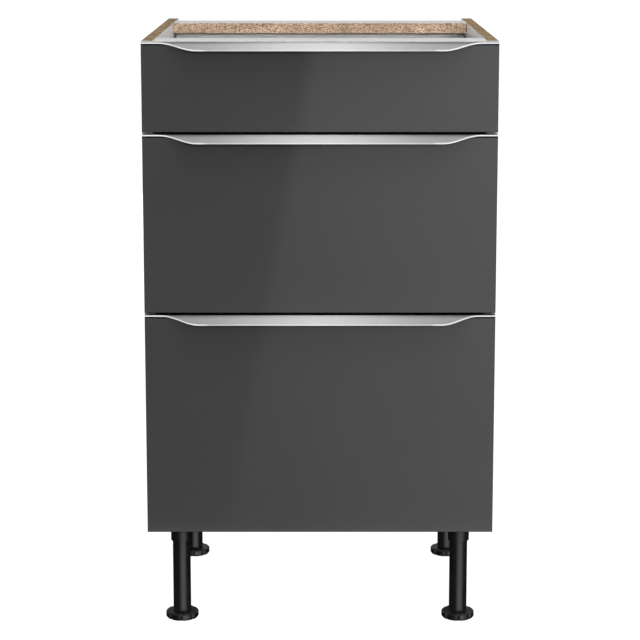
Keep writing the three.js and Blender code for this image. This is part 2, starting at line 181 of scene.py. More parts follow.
def dress(tree, shader, colour, roughness, height, strength, depth):
    """Wire colour, roughness and a bump of some strength and depth to the shader."""
    tree.links.new(colour, shader.inputs["Base Color"])
    tree.links.new(roughness, shader.inputs["Roughness"])
    relief = {"Height": height, "Strength": strength, "Distance": depth}
    bump = add_node(tree, "ShaderNodeBump", relief)
    tree.links.new(bump.outputs["Normal"], shader.inputs["Normal"])


print("group and material helpers ready")

# %% [markdown]
# ## Shared effects
#
# Real surfaces differ in the same few ways: a slow drift of tone, a fine grain, drawn-out
# scratches from brushing or rolling, a little dust that settles on whatever faces up, and
# bright or rubbed edges. Each is built once as a node group, and every material sets its
# own strength.

# %% Effect: slow drift of tone and gloss
def build_drift():
    group, given, result = open_group(
        "tone_drift",
        [
            ("Place", "Vector", None),
            ("Scale", "Float", 8.0),
            ("Tone", "Color", (0.5, 0.5, 0.5, 1.0)),
            ("Other Tone", "Color", (0.4, 0.4, 0.4, 1.0)),
            ("Smooth", "Float", 0.2),
            ("Rough", "Float", 0.3),
        ],
        [("Color", "Color"), ("Roughness", "Float")],
    )
    slow = add_node(
        group,
        "ShaderNodeTexNoise",
        {"Vector": given["Place"], "Scale": given["Scale"], "Detail": 3.0, "Roughness": 0.6},
    )
    spread = slope(group, slow.outputs["Fac"], 0.3, 0.7, kind="SMOOTHSTEP")
    colour = blend(group, spread, given["Tone"], given["Other Tone"])
    gloss = slope(group, spread, 0.0, 1.0, given["Smooth"], given["Rough"])
    group.links.new(colour, result["Color"])
    group.links.new(gloss, result["Roughness"])
    return group


tone_drift = build_drift()
print("group:", tone_drift.name)

# %% [markdown]
# Brushed metal has fine lines along one direction, and a coated board has a fine even
# texture. Both can be the same noise: squeezing the place along one axis draws the noise
# out along it, and leaving the place alone keeps the noise round. A wave texture would
# give lines that are too regular.

# %% Effect: grain, stretched along one direction where a surface was brushed or rolled
def build_grain():
    group, given, result = open_group(
        "stretched_grain",
        [
            ("Place", "Vector", None),
            ("Stretch", "Vector", (1.0, 1.0, 1.0)),
            ("Scale", "Float", 400.0),
            ("Detail", "Float", 3.0),
        ],
        [("Height", "Float")],
    )
    pulled = add_node(
        group, "ShaderNodeVectorMath", {0: given["Place"], 1: given["Stretch"]}, operation="MULTIPLY"
    ).outputs["Vector"]
    noise = add_node(
        group,
        "ShaderNodeTexNoise",
        {"Vector": pulled, "Scale": given["Scale"], "Detail": given["Detail"], "Roughness": 0.55},
    )
    group.links.new(noise.outputs["Fac"], result["Height"])
    return group


stretched_grain = build_grain()
print("group:", stretched_grain.name)

# %% [markdown]
# Dust lies on what faces up, and in patches. The surface's own normal tells which way a
# point faces, and a noise breaks the layer up. The group gives a mask only, so that each
# material says what the dust does to its colour or its gloss.

# %% Effect: dust that settles on faces that look up
def build_dust():
    group, given, result = open_group(
        "settled_dust",
        [("Place", "Vector", None), ("Amount", "Float", 0.3), ("Scale", "Float", 60.0)],
        [("Mask", "Float")],
    )
    normal = add_node(group, "ShaderNodeNewGeometry").outputs["Normal"]
    facing = slope(group, split_axes(group, normal)["Z"], 0.35, 0.95, kind="SMOOTHSTEP")
    patches = add_node(
        group,
        "ShaderNodeTexNoise",
        {"Vector": given["Place"], "Scale": given["Scale"], "Detail": 6.0, "Roughness": 0.7},
    )
    broken = reckon(group, "MULTIPLY", facing, patches.outputs["Fac"])
    group.links.new(reckon(group, "MULTIPLY", broken, given["Amount"]), result["Mask"])
    return group


settled_dust = build_dust()
print("group:", settled_dust.name)

# %% [markdown]
# Coated and plated metal wears first at its edges. The wear could be painted by hand, but
# a Bevel node finds the edges: it rounds the normal near them, so a point where it differs
# from the true normal lies at an edge.

# %% Effect: edges that catch light or are rubbed
def build_edge():
    group, given, result = open_group(
        "rubbed_edge",
        [("Place", "Vector", None), ("Width", "Float", 0.001), ("Break Up", "Float", 0.4)],
        [("Mask", "Float")],
    )
    normal = add_node(group, "ShaderNodeNewGeometry").outputs["Normal"]
    rounded = add_node(group, "ShaderNodeBevel", {"Radius": given["Width"]}, samples=4).outputs["Normal"]
    agreement = add_node(
        group, "ShaderNodeVectorMath", {0: normal, 1: rounded}, operation="DOT_PRODUCT"
    ).outputs["Value"]
    edge = slope(group, agreement, 0.99, 0.8)
    patches = add_node(
        group, "ShaderNodeTexNoise", {"Vector": given["Place"], "Scale": 90.0, "Detail": 4.0}
    )
    gaps = slope(group, patches.outputs["Fac"], given["Break Up"], 0.7)
    group.links.new(reckon(group, "MULTIPLY", edge, gaps), result["Mask"])
    return group


rubbed_edge = build_edge()
print("group:", rubbed_edge.name)

# %% [markdown]
# ## Raw chipboard
#
# Where a board is cut and not lipped, its core shows: pressed wood chips in several tones,
# with dark bark flecks and pale slivers. A Voronoi texture gives each chip one tone, and
# squashing it in the board's thickness makes the chips lie flat, as the press leaves them.
# The top edges of the sides and the front edge of the rear rail show it, so it is a group
# with the tones as inputs.

# %% Effect: pressed wood chips
def build_chips():
    group, given, result = open_group(
        "pressed_chips",
        [
            ("Place", "Vector", None),
            ("Stretch", "Vector", (1.0, 1.0, 1.0)),
            ("Chip Count", "Float", 300.0),
            ("Pale", "Color", (0.7, 0.52, 0.36, 1.0)),
            ("Middle", "Color", (0.5, 0.34, 0.22, 1.0)),
            ("Dark", "Color", (0.28, 0.17, 0.1, 1.0)),
        ],
        [("Color", "Color"), ("Height", "Float")],
    )
    pulled = add_node(
        group, "ShaderNodeVectorMath", {0: given["Place"], 1: given["Stretch"]}, operation="MULTIPLY"
    ).outputs["Vector"]
    warp = add_node(group, "ShaderNodeTexNoise", {"Vector": pulled, "Scale": 220.0, "Detail": 2.0})
    shift = add_node(
        group, "ShaderNodeVectorMath", {0: warp.outputs["Color"], 3: 0.0045}, operation="SCALE"
    ).outputs["Vector"]
    torn = add_node(group, "ShaderNodeVectorMath", {0: pulled, 1: shift}, operation="ADD").outputs["Vector"]
    chips = add_node(
        group, "ShaderNodeTexVoronoi", {"Vector": torn, "Scale": given["Chip Count"], "Randomness": 1.0}
    )
    fibre = add_node(
        group, "ShaderNodeTexNoise", {"Vector": torn, "Scale": 900.0, "Detail": 4.0, "Roughness": 0.7}
    )
    tone = split_axes(group, chips.outputs["Color"])["X"]
    shade = reckon(group, "MULTIPLY_ADD", fibre.outputs["Fac"], 0.55, tone)
    lower = blend(group, slope(group, shade, 0.25, 0.75), given["Dark"], given["Middle"])
    colour = blend(group, slope(group, shade, 0.75, 1.3), lower, given["Pale"])
    group.links.new(colour, result["Color"])
    group.links.new(shade, result["Height"])
    return group


pressed_chips = build_chips()
print("group:", pressed_chips.name)

# %% [markdown]
# ## The gloss fronts
#
# The fronts are fibreboard wrapped in a high-gloss anthracite film. Seen close, such a film
# is never a perfect mirror: it has a faint orange peel from the board below, and hairlines
# and specks where its gloss drops. The dark tone sits in the base colour, and the shine
# comes from the shader's own reflection, with very small bumps.

# %% Material: anthracite gloss film
EVEN = (1.0, 1.0, 1.0)
WHITE = (1.0, 1.0, 1.0, 1.0)


def build_gloss():
    material, tree, shader, place = open_material("anthracite_gloss", IOR=1.5, Specular_IOR_Level=0.5)
    drift = use_group(
        tree, tone_drift, place=place, scale=5.0, smooth=0.07, rough=0.11,
        tone=(0.0488, 0.0488, 0.0493, 1.0), other_tone=(0.0515, 0.0515, 0.0520, 1.0),
    )
    hairline = use_group(
        tree, stretched_grain, place=place, stretch=(1.0, 1.0, 0.02), scale=900.0, detail=2.0
    )
    worn = slope(tree, hairline["Height"], 0.66, 0.8, 0.0, 0.1)
    dust = use_group(tree, settled_dust, place=place, amount=0.25, scale=120.0)
    rough = reckon(tree, "ADD", drift["Roughness"], worn)
    dusty = reckon(tree, "ADD", rough, dust["Mask"])
    peel = use_group(tree, stretched_grain, place=place, stretch=EVEN, scale=260.0, detail=1.0)
    dress(tree, shader, drift["Color"], dusty, peel["Height"], 0.05, 0.4 * MM)
    return material


gloss = build_gloss()
print("material:", gloss.name)

# %% [markdown]
# ## Satin metal
#
# The grip strips are satin metal, brushed along their length, and their brighter middle is a
# painted sheen in the base colour. The grain runs along X, so the noise is squeezed along X
# and left fine across it. The cut rim's bright middle, and its brightest parts on the S-curves
# and the flush ends, are a painted highlight. The flat bed on top is barer metal, with painted
# shade towards its ends, and the lip is darkened by painted shade towards the bend, where it
# leaves the face. One function makes all three, because they differ only in tones and shine;
# each list of tones runs from the middle of the strip to its end.

# %% Materials: satin lip with painted sheen, cut rim with painted highlight, bed with painted shade
# These three set the painted shade that darkens the lip towards the bend.
BEND_REACH = 8.0 * MM
BEND_FLAT = 0.5 * MM
MIDDLE_PAINTED_SHADE = 0.35
BLACK = (0.0, 0.0, 0.0, 1.0)
# The lip's tones are a painted sheen, brighter in the middle of the strip.
LIP_PAINTED_SHEEN = [(0.0, (0.675, 0.675, 0.68)), (1.0, (0.345, 0.35, 0.35))]
# The bed's tones are painted shade, darker towards the ends of the strip.
BED_PAINTED_SHADE = [(0.0, (0.7, 0.7, 0.71)), (1.0, (0.42, 0.42, 0.43))]
# The rim's tones are a painted highlight: bright in the middle, darker between, brightest on the S-curves
# and flush ends.
RIM_PAINTED_HIGHLIGHT = [
    (0.0, (0.9, 0.9, 0.9)),
    (0.26, (0.776, 0.776, 0.776)),
    (0.58, (0.64, 0.64, 0.64)),
    (0.68, (0.61, 0.61, 0.612)),
    (0.73, (0.93, 0.93, 0.93)),
]


def build_satin(name, tones, roughness, strip_half, metallic, painted_bend_shade=0.0):
    """Tones along the strip as painted sheen, highlight and shade, and painted shade towards the bend,
    where the lip leaves the face.
    """
    material, tree, shader, place = open_material(name, Metallic=metallic, IOR=1.5)
    axes = split_axes(tree, place)
    along = slope(tree, reckon(tree, "ABSOLUTE", axes["X"]), 0.0, strip_half, kind="SMOOTHSTEP")
    # The tones paint light along the strip, from the middle to the end.
    tone = ramp(tree, along, tones)
    # Painted shade darkens the lip towards the bend, less in the middle of the strip.
    near_bend = slope(tree, axes["Y"], face_y - BEND_REACH, face_y - BEND_FLAT, kind="SMOOTHSTEP")
    share = slope(tree, along, 0.0, 1.0, MIDDLE_PAINTED_SHADE * painted_bend_shade, painted_bend_shade)
    tone_with_painted_shade = blend(tree, reckon(tree, "MULTIPLY", near_bend, share), tone, BLACK)
    drift = use_group(
        tree, tone_drift, place=place, scale=14.0, smooth=roughness, rough=roughness + 0.06,
        tone=WHITE, other_tone=(0.95, 0.95, 0.955, 1.0),
    )
    tinted = blend(tree, 1.0, tone_with_painted_shade, drift["Color"], "MULTIPLY")
    brush = use_group(
        tree, stretched_grain, place=place, stretch=(0.02, 1.0, 1.0), scale=2600.0, detail=3.0
    )
    dress(tree, shader, tinted, drift["Roughness"], brush["Height"], 0.12, 0.2 * MM)
    return material


# Painted sheen on the lip, painted highlight on the rim, painted shade on the bed.
satin = build_satin("satin_metal", LIP_PAINTED_SHEEN, 0.36, 0.2, 0.1, painted_bend_shade=0.5)
painted_highlight_rim = build_satin("cut_rim_painted_highlight", RIM_PAINTED_HIGHLIGHT, 0.3, 0.25, 0.0)
painted_shade_bed = build_satin("metal_bed_painted_shade", BED_PAINTED_SHADE, 0.25, 0.2, 1.0)
print("materials:", satin.name, painted_highlight_rim.name, painted_shade_bed.name)

# %% [markdown]
# ## The carcass boards
#
# The boards are chipboard with a thin white melamine face. The face has a fine pearl
# texture and is slightly warmer than pure white. The cut edges show the chips, and the
# thin back is hardboard with a brown rough side towards the wall.

# %% Material: white melamine
def build_melamine():
    material, tree, shader, place = open_material("white_melamine", IOR=1.46, Specular_IOR_Level=0.35)
    drift = use_group(
        tree, tone_drift, place=place, scale=6.0, smooth=0.4, rough=0.5,
        tone=(0.78, 0.78, 0.765, 1.0), other_tone=(0.75, 0.75, 0.735, 1.0),
    )
    dust = use_group(tree, settled_dust, place=place, amount=0.2, scale=90.0)
    dusty = blend(tree, dust["Mask"], drift["Color"], (0.60, 0.59, 0.565, 1.0))
    pearl = use_group(tree, stretched_grain, place=place, stretch=EVEN, scale=1500.0, detail=2.0)
    dress(tree, shader, dusty, drift["Roughness"], pearl["Height"], 0.12, 0.2 * MM)
    return material


melamine = build_melamine()
print("material:", melamine.name)

# %% [markdown]
# The cut edges use the chip group twice, with their own tones: the rail's edge is pale and
# fine, and the tops of the sides are coarser and more olive. A drift of tone multiplies
# both, since raw wood ages unevenly.

# %% Material: cut chipboard, pale on the rails and olive on the sides
def build_cut_edge(name, chip_count, pale, middle, dark, stretch):
    material, tree, shader, place = open_material(name, IOR=1.4, Specular_IOR_Level=0.2)
    chips = use_group(
        tree, pressed_chips, place=place, stretch=stretch, chip_count=chip_count,
        pale=pale, middle=middle, dark=dark,
    )
    drift = use_group(
        tree, tone_drift, place=place, scale=20.0, smooth=0.75, rough=0.9,
        tone=(1.07, 1.06, 1.05, 1.0), other_tone=(0.80, 0.78, 0.75, 1.0),
    )
    aged = blend(tree, 1.0, chips["Color"], drift["Color"], "MULTIPLY")
    dress(tree, shader, aged, drift["Roughness"], chips["Height"], 0.6, 0.6 * MM)
    return material


cut_front = build_cut_edge(
    "cut_chipboard_pale",
    chip_count=880.0,
    pale=(0.68, 0.52, 0.385, 1.0),
    middle=(0.31, 0.212, 0.145, 1.0),
    dark=(0.075, 0.046, 0.027, 1.0),
    stretch=(0.75, 1.0, 1.5),
)
cut_top = build_cut_edge(
    "cut_chipboard_olive",
    chip_count=430.0,
    pale=(0.62, 0.47, 0.28, 1.0),
    middle=(0.29, 0.20, 0.11, 1.0),
    dark=(0.075, 0.047, 0.026, 1.0),
    stretch=(1.5, 0.75, 1.0),
)
print("materials:", cut_front.name, cut_top.name)

# %% [markdown]
# The back's rough side is pressed wood fibre, brown and matt. A fine noise shades the
# brown, and the same noise raises the fibres, so that colour and relief agree.

# %% Material: rough brown side of the hardboard back
def build_hardboard():
    material, tree, shader, place = open_material("brown_hardboard", IOR=1.4, Specular_IOR_Level=0.2)
    drift = use_group(
        tree, tone_drift, place=place, scale=9.0, smooth=0.8, rough=0.95,
        tone=(0.30, 0.185, 0.10, 1.0), other_tone=(0.25, 0.15, 0.08, 1.0),
    )
    fibres = use_group(tree, stretched_grain, place=place, stretch=EVEN, scale=700.0, detail=6.0)
    shade = ramp(tree, fibres["Height"], [(0.3, (0.72, 0.70, 0.68)), (0.7, (1.15, 1.12, 1.08))])
    mixed = blend(tree, 1.0, drift["Color"], shade, "MULTIPLY")
    dress(tree, shader, mixed, drift["Roughness"], fibres["Height"], 0.5, 0.4 * MM)
    return material


hardboard = build_hardboard()
print("material:", hardboard.name)

# %% [markdown]
# ## Metals and plastics inside and below
#
# The drawer sides and gallery rods are powder-coated sheet steel, the runners are zinc
# plated, and the legs are black moulded plastic. They share the grain, drift, dust and edge
# groups with different strengths, because what differs is mostly tone and gloss.

# %% Material: powder-coated steel
def build_powder_coat():
    material, tree, shader, place = open_material("grey_powder_coat", Metallic=0.45, IOR=1.45)
    drift = use_group(
        tree, tone_drift, place=place, scale=7.0, smooth=0.38, rough=0.48,
        tone=(0.44, 0.45, 0.46, 1.0), other_tone=(0.40, 0.41, 0.42, 1.0),
    )
    edge = use_group(tree, rubbed_edge, place=place, width=1.2 * MM, break_up=0.45)
    worn = blend(tree, edge["Mask"], drift["Color"], (0.62, 0.63, 0.65, 1.0))
    grain = use_group(tree, stretched_grain, place=place, stretch=EVEN, scale=1800.0, detail=2.0)
    dress(tree, shader, worn, drift["Roughness"], grain["Height"], 0.25, 0.2 * MM)
    return material


powder_coat = build_powder_coat()
print("material:", powder_coat.name)

# %% [markdown]
# Zinc plating crystallises in small patches, its spangle. A Voronoi texture gives each
# patch its own tone, and the grain is drawn out along the rail, as rolling leaves it.

# %% Material: zinc-plated steel
def build_zinc():
    material, tree, shader, place = open_material("zinc_plate", Metallic=1.0)
    spangle = add_node(tree, "ShaderNodeTexVoronoi", {"Vector": place, "Scale": 160.0})
    crystal = split_axes(tree, spangle.outputs["Color"])["X"]
    colour = ramp(tree, crystal, [(0.0, (0.56, 0.58, 0.61)), (1.0, (0.68, 0.70, 0.72))])
    drift = use_group(
        tree, tone_drift, place=place, scale=12.0, smooth=0.26, rough=0.4,
        tone=WHITE, other_tone=(0.9, 0.9, 0.88, 1.0),
    )
    mixed = blend(tree, 1.0, colour, drift["Color"], "MULTIPLY")
    edge = use_group(tree, rubbed_edge, place=place, width=0.8 * MM, break_up=0.4)
    worn = blend(tree, edge["Mask"], mixed, (0.82, 0.83, 0.85, 1.0))
    rolled = use_group(
        tree, stretched_grain, place=place, stretch=(1.0, 0.03, 1.0), scale=1600.0, detail=2.0
    )
    dress(tree, shader, worn, drift["Roughness"], rolled["Height"], 0.15, 0.2 * MM)
    return material


zinc = build_zinc()
print("material:", zinc.name)

# %% [markdown]
# The legs are moulded in black plastic, which is never quite black and has a fine moulded
# grain. A trace of dust keeps the faces that look up readable.

# %% Material: black moulded plastic
def build_black_plastic():
    material, tree, shader, place = open_material("black_plastic", IOR=1.5, Specular_IOR_Level=0.6)
    drift = use_group(
        tree, tone_drift, place=place, scale=30.0, smooth=0.28, rough=0.34,
        tone=(0.0062, 0.0062, 0.0064, 1.0), other_tone=(0.0078, 0.0078, 0.008, 1.0),
    )
    dust = use_group(tree, settled_dust, place=place, amount=0.025, scale=150.0)
    dusty = blend(tree, dust["Mask"], drift["Color"], (0.12, 0.115, 0.11, 1.0))
    grain = use_group(tree, stretched_grain, place=place, stretch=EVEN, scale=1300.0, detail=2.0)
    dress(tree, shader, dusty, drift["Roughness"], grain["Height"], 0.15, 0.2 * MM)
    return material


black_plastic = build_black_plastic()
print("material:", black_plastic.name)

# %% [markdown]
# ## Modelling helpers
#
# Every piece starts as a bmesh: a cube or a few corners, extruded, spun and bevelled. The
# last helper turns the bmesh into an object. It smooths the narrow bevel faces and keeps
# the wide flats crisp, hides the plain node that the piece stands for, and lets the piece
# ride on the same body.

# %% Mesh helpers
SMOOTH_LIMIT = math.radians(35)
SHARP_LIMIT = math.radians(40)
FLAT_TURN = math.radians(1)
FLAT_SHARE = 8.0
FACING = 0.9
UPRIGHT = 0.3
TOUCH = 1e-5
MERGE = 1e-6
ON_PLANE = 1e-7
ORIGIN = (0.0, 0.0, 0.0)


def box_block(bm, low, high):
    """A cube stretched between two corners."""
    made = bmesh.ops.create_cube(bm, size=1.0)
    bmesh.ops.scale(bm, vec=high - low, verts=made["verts"])
    bmesh.ops.translate(bm, vec=(low + high) / 2, verts=made["verts"])
    return made["verts"]


def pull_outline(bm, corners, travel):
    """One flat outline, extruded by a vector."""
    face = bm.faces.new([bm.verts.new(corner) for corner in corners])
    grown = bmesh.ops.extrude_face_region(bm, geom=[face])
    moved = [item for item in grown["geom"] if isinstance(item, bmesh.types.BMVert)]
    bmesh.ops.translate(bm, vec=travel, verts=moved)


def spin_profile(bm, profile, centre, steps):
    """A (radius, height) profile, turned a full circle about an upright axis."""
    verts = [bm.verts.new((centre.x + radius, centre.y, centre.z + height)) for radius, height in profile]
    edges = [bm.edges.new(pair) for pair in zip(verts, verts[1:])]
    bmesh.ops.spin(
        bm,
        geom=verts + edges,
        cent=centre,
        axis=(0.0, 0.0, 1.0),
        angle=2 * math.pi,
        steps=steps,
        use_merge=True,
    )
    bmesh.ops.remove_doubles(bm, verts=bm.verts, dist=MERGE)


def cut_across(bm, cut_y):
    """New edges where an upright plane crosses the piece at cut_y."""
    bmesh.ops.bisect_plane(
        bm,
        geom=bm.verts[:] + bm.edges[:] + bm.faces[:],
        dist=ON_PLANE,
        plane_co=(0.0, cut_y, 0.0),
        plane_no=(0.0, 1.0, 0.0),
    )


print("mesh helpers ready")


# %% Edge helpers
def round_edges(bm, edges, radius, segments=3):
    bmesh.ops.bevel(
        bm,
        geom=list(edges),
        offset=radius,
        offset_type="OFFSET",
        segments=segments,
        profile=0.5,
        affect="EDGES",
        material=-1,
        clamp_overlap=True,
    )


def sharp_edges(bm, angle=SHARP_LIMIT):
    return [e for e in bm.edges if len(e.link_faces) == 2 and e.calc_face_angle(0.0) > angle]


def crease(bm):
    """Smooth bevels and turned shapes, but keep wide flats and hard corners crisp."""
    for face in bm.faces:
        face.smooth = True
    for edge in bm.edges:
        if len(edge.link_faces) != 2:
            continue
        angle = edge.calc_face_angle(0.0)
        small, large = sorted(face.calc_area() for face in edge.link_faces)
        wide = large > FLAT_SHARE * small and angle > FLAT_TURN
        edge.smooth = angle < SMOOTH_LIMIT and not wide


print("edge helpers ready")


# %% From bmesh to piece
def link_mesh(bm, name, materials):
    """Turn a bmesh into an object of the scene."""
    mesh = bpy.data.meshes.new(name)
    bm.to_mesh(mesh)
    bm.free()
    for material in materials:
        mesh.materials.append(material)
    made = bpy.data.objects.new(name, mesh)
    bpy.context.scene.collection.objects.link(made)
    return made


def make_piece(bm, name, body, materials, stands_for=()):
    bmesh.ops.recalc_face_normals(bm, faces=bm.faces)
    crease(bm)
    piece = link_mesh(bm, name, materials)
    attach(piece, body)
    if stands_for:
        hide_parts(*stands_for)
    print("piece:", name, len(piece.data.polygons), "faces")


ROWS = ("upper", "middle", "lower")
SIDES = (("left", -1), ("right", 1))
print("drawer rows:", ", ".join(ROWS))

# %% [markdown]
# ## Drawer fronts
#
# Each front is an 18 mm board. Its section, with the groove that takes the grip strip's
# tongue, is drawn in a few corners and pulled across the cabinet. The upper front corner is
# cut off at a slant, and the slant takes the black plastic material as painted shade: a dark
# line of painted shadow under the strip's flush ends. The other edges of the face are
# bevelled, because the film is wrapped round them; a bevel on the finished solid mitres the
# corners by itself.

# %% Drawer fronts
FACE_RADIUS = 1.2 * MM
JOINT_HEIGHT = 2.2 * MM
JOINT_DEPTH = 2.0 * MM
REAR_RADIUS = 0.4 * MM
GROOVE_WIDTH = 2.6 * MM
GROOVE_DEPTH = 10.3 * MM


def front_section(low, high):
    """The (y, z) corners of the board's section, from the lower front edge round."""
    middle_y = (low.y + high.y) / 2
    groove_front = middle_y - GROOVE_WIDTH / 2
    groove_rear = middle_y + GROOVE_WIDTH / 2
    floor_z = high.z - GROOVE_DEPTH
    return [
        (low.y, low.z),
        (high.y, low.z),
        (high.y, high.z),
        (groove_rear, high.z),
        (groove_rear, floor_z),
        (groove_front, floor_z),
        (groove_front, high.z),
        (low.y + JOINT_DEPTH, high.z),
        (low.y, high.z - JOINT_HEIGHT),
    ]


def build_front(row):
    low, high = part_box(f"{row}_drawer_front")
    bm = bmesh.new()
    corners = [(low.x, y, z) for y, z in front_section(low, high)]
    pull_outline(bm, corners, Vector((high.x - low.x, 0.0, 0.0)))
    near = [
        e
        for e in sharp_edges(bm)
        if all(v.co.y < low.y + TOUCH for v in e.verts) and min(v.co.z for v in e.verts) < low.z + TOUCH
    ]
    round_edges(bm, near, FACE_RADIUS, 5)
    far = [e for e in bm.edges if all(abs(v.co.y - high.y) < TOUCH for v in e.verts)]
    round_edges(bm, far, REAR_RADIUS, 2)
    bmesh.ops.recalc_face_normals(bm, faces=bm.faces)
    for face in bm.faces:
        at_rear = face.normal.y > FACING and face.calc_center_median().y > high.y - TOUCH
        # The slant takes the black plastic material as painted shade, a dark line under the strip's flush
        # ends.
        painted_shade_slant = face.normal.y < -0.5 and face.normal.z > 0.5
        face.material_index = 1 if at_rear else 2 if painted_shade_slant else 0
    coats = [gloss, melamine, black_plastic]
    make_piece(bm, f"{row}_front_panel", f"{row}_drawer", coats, [f"{row}_drawer_front"])


for row in ROWS:
    build_front(row)

# %% [markdown]
# ## Grip strips
#
# A strip lies on the front's top edge and slants forwards and down into a lip. At each end
# an S-curve trims the lip back until it is flush with the face. The plate is drawn flat, in
# plan, with the S-curves in its outline, and pulled up to its thickness; a tongue is pulled
# down from it into the front's groove. Then everything in front of the face is sheared
# down, so that the lip slants as one plane, and the rim's edges are bevelled. Drawing it in
# plan first keeps the S-curve true.

# %% Grip strips
STRIP_SHEET = 2.0 * MM
STRIP_PLAY = 0.1 * MM
LIP_REACH = 20.0 * MM
LIP_SLOPE = 8.9 / 20.0
FLUSH_END = 24.0 * MM
CURVE_LENGTH = 54.0 * MM
CURVE_STEPS = 40
TONGUE = 2.0 * MM
RIM_RADIUS = 0.45 * MM


def lip_outline(low, high, under_z):
    """Plan corners: the left S-curve, the right one mirrored, then round the rear."""
    curve = []
    for step in range(CURVE_STEPS + 1):
        share = step / CURVE_STEPS
        reach = LIP_REACH * (1 - math.cos(math.pi * share)) / 2
        curve.append((low.x + FLUSH_END + share * CURVE_LENGTH, face_y - reach))
    mirrored = [(-x, y) for x, y in reversed(curve)]
    rear = [(high.x, face_y), (high.x, high.y), (low.x, high.y), (low.x, face_y)]
    return [(x, y, under_z) for x, y in curve + mirrored + rear]


def pull_tongue(bm, middle_y, travel):
    """Cut a narrow band out of the strip's underside and pull it down."""
    for cut_y in (face_y, middle_y - TONGUE / 2, middle_y + TONGUE / 2):
        cut_across(bm, cut_y)
    bmesh.ops.recalc_face_normals(bm, faces=bm.faces)
    under = [
        f
        for f in bm.faces
        if f.normal.z < -FACING and abs(f.calc_center_median().y - middle_y) < TONGUE / 2
    ]
    grown = bmesh.ops.extrude_face_region(bm, geom=under)
    verts = [v for v in grown["geom"] if isinstance(v, bmesh.types.BMVert)]
    bmesh.ops.translate(bm, vec=(0.0, 0.0, travel), verts=verts)


def build_strip(row):
    low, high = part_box(f"{row}_drawer_handle")
    under_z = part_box(f"{row}_drawer_front")[1].z + STRIP_PLAY
    bm = bmesh.new()
    pull_outline(bm, lip_outline(low, high, under_z), Vector((0.0, 0.0, STRIP_SHEET)))
    pull_tongue(bm, (face_y + high.y) / 2, low.z - under_z)
    for vert in bm.verts:
        if vert.co.y < face_y:
            vert.co.z -= LIP_SLOPE * (face_y - vert.co.y)
    for face in bm.faces:
        centre = face.calc_center_median()
        rim = abs(face.normal.z) < UPRIGHT and centre.y < face_y + TOUCH
        face.material_index = 1 if rim else 2 if centre.y > face_y else 0
    painted = [({f.material_index for f in e.link_faces}, e) for e in bm.edges]
    round_edges(bm, [e for kinds, e in painted if kinds in ({0, 1}, {1, 2})], RIM_RADIUS, 3)
    metals = [satin, painted_highlight_rim, painted_shade_bed]
    make_piece(bm, f"{row}_grip_strip", f"{row}_drawer", metals, [f"{row}_drawer_handle"])


for row in ROWS:
    build_strip(row)

# %% [markdown]
# ## Side panels, rails and bottom
#
# A cut board has white faces and raw edges, and the sides, the front rail and the bottom
# have a thin white lipping along their front edge. One helper paints a board by the way each
# face looks. The side panels also have a groove for the thin back, so their plan outline is
# pulled up to the board's height. A plain board could be a bare cube, but a tiny bevel gives
# its edges the line of light that real boards have.

# %% Side panels
LIPPING = 1.0 * MM
BOARD_EDGE = 0.35 * MM
BACK_PLAY = 0.3 * MM
LEFT, RIGHT = (-1, 0, 0), (1, 0, 0)
FORWARDS, BACKWARDS = (0, -1, 0), (0, 1, 0)
DOWN, UP = (0, 0, -1), (0, 0, 1)


def paint_board(bm, raw_sides, lipping_y=None):
    """Give the raw directions chipboard; keep the lipping strip white."""
    for face in bm.faces:
        raw = any(face.normal.dot(Vector(side)) > FACING for side in raw_sides)
        at_lipping = lipping_y is not None and face.calc_center_median().y < lipping_y
        face.material_index = 1 if raw and not at_lipping else 0


def build_side_panel(side, sign):
    low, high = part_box(f"side_panel_{side}")
    back_low, back_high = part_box("back_panel")
    outer = sign * max(abs(low.x), abs(high.x))
    inner = sign * min(abs(low.x), abs(high.x))
    groove = sign * (back_high.x + BACK_PLAY)
    front_y, rear_y = back_low.y - BACK_PLAY, back_high.y + BACK_PLAY
    plan = [
        (outer, low.y),
        (inner, low.y),
        (inner, front_y),
        (groove, front_y),
        (groove, rear_y),
        (inner, rear_y),
        (inner, high.y),
        (outer, high.y),
    ]
    bm = bmesh.new()
    pull_outline(bm, [(x, y, low.z) for x, y in plan], Vector((0.0, 0.0, high.z - low.z)))
    bmesh.ops.recalc_face_normals(bm, faces=bm.faces)
    outer_rim = [e for e in sharp_edges(bm) if abs(e.calc_length() - (rear_y - front_y)) > TOUCH]
    round_edges(bm, outer_rim, BOARD_EDGE, 2)
    cut_across(bm, low.y + LIPPING)
    paint_board(bm, [UP, DOWN, BACKWARDS], low.y + LIPPING)
    coats = [melamine, cut_top]
    make_piece(bm, f"side_board_{side}", "carcass", coats, [f"side_panel_{side}"])


for side, sign in SIDES:
    build_side_panel(side, sign)


# %% Plain boards
def build_board(node, body, raw_sides, lipped_front=False):
    low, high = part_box(node)
    bm = bmesh.new()
    box_block(bm, low, high)
    round_edges(bm, bm.edges[:], BOARD_EDGE, 2)
    if lipped_front:
        cut_across(bm, low.y + LIPPING)
    paint_board(bm, raw_sides, low.y + LIPPING if lipped_front else None)
    make_piece(bm, f"{node}_board", body, [melamine, cut_front], [node])


build_board("front_rail", "carcass", [BACKWARDS, LEFT, RIGHT], lipped_front=True)
build_board("rear_rail", "carcass", [BACKWARDS, FORWARDS, LEFT, RIGHT])
build_board("bottom_panel", "carcass", [BACKWARDS, LEFT, RIGHT], lipped_front=True)
for row in ROWS:
    build_board(f"{row}_drawer_bottom", f"{row}_drawer", [BACKWARDS, FORWARDS])
    build_board(f"{row}_drawer_back", f"{row}_drawer", [LEFT, RIGHT, DOWN])

